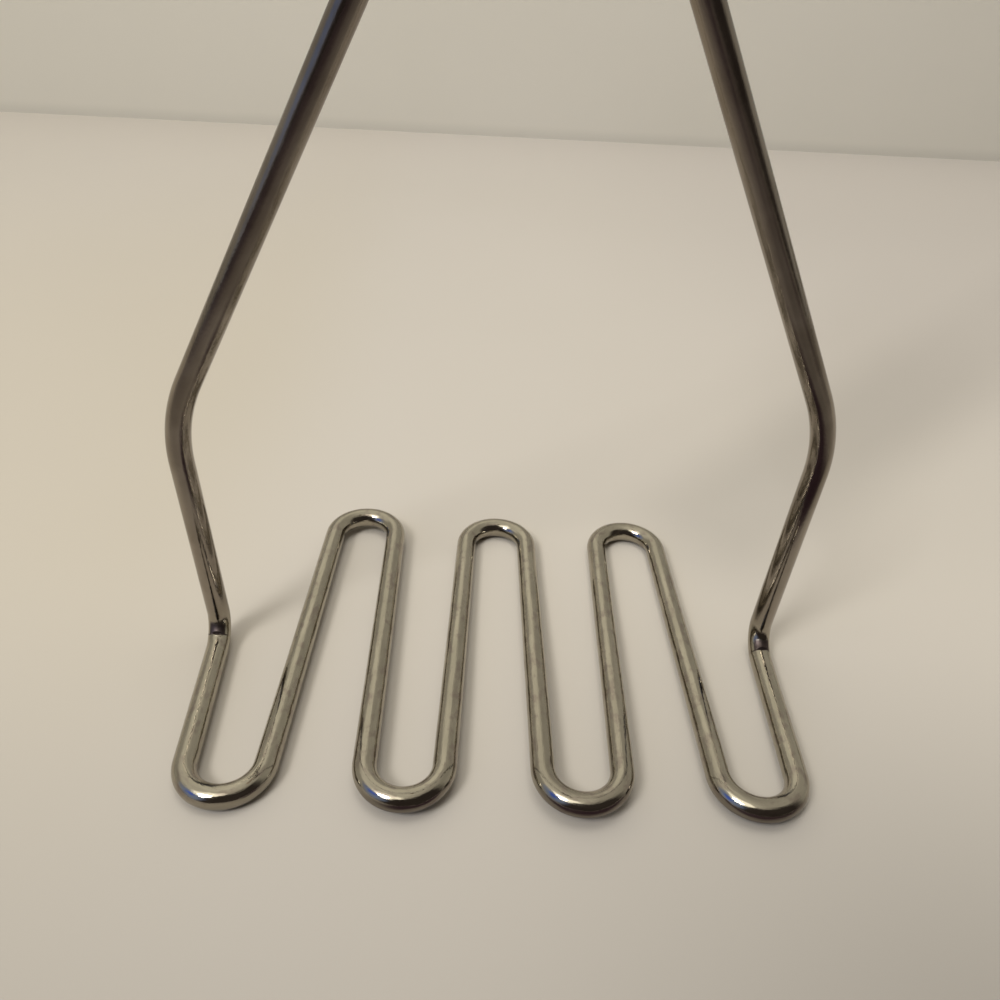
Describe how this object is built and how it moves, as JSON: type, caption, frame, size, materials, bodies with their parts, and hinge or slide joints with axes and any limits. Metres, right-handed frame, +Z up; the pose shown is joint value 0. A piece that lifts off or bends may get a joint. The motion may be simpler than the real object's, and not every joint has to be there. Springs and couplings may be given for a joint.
{
  "type": "potato masher",
  "caption": "Hand masher with a zigzag round-wire head, two wire legs that lean in to a steel ferrule, and a turned wooden grip with a hanging hole.",
  "frame": {"origin": "on the ground under the handle's axis, midway between the two feet", "axes": "+Z up along the handle, X along the head's width, +Y towards the head's row of three bends"},
  "size_m": [0.1344, 0.0938, 0.287],
  "materials": {
    "wire": "bright plated steel wire with fine lengthwise drawing marks and light wear",
    "ferrule": "pressed steel, softly polished",
    "handle": "turned beech, oiled and worn",
    "pin": "plain steel"
  },
  "bodies": {
    "root": {"masher_wire": "wire", "ferrule": "ferrule", "handle": "handle", "cross_pin": "pin"}
  },
  "joints": []
}
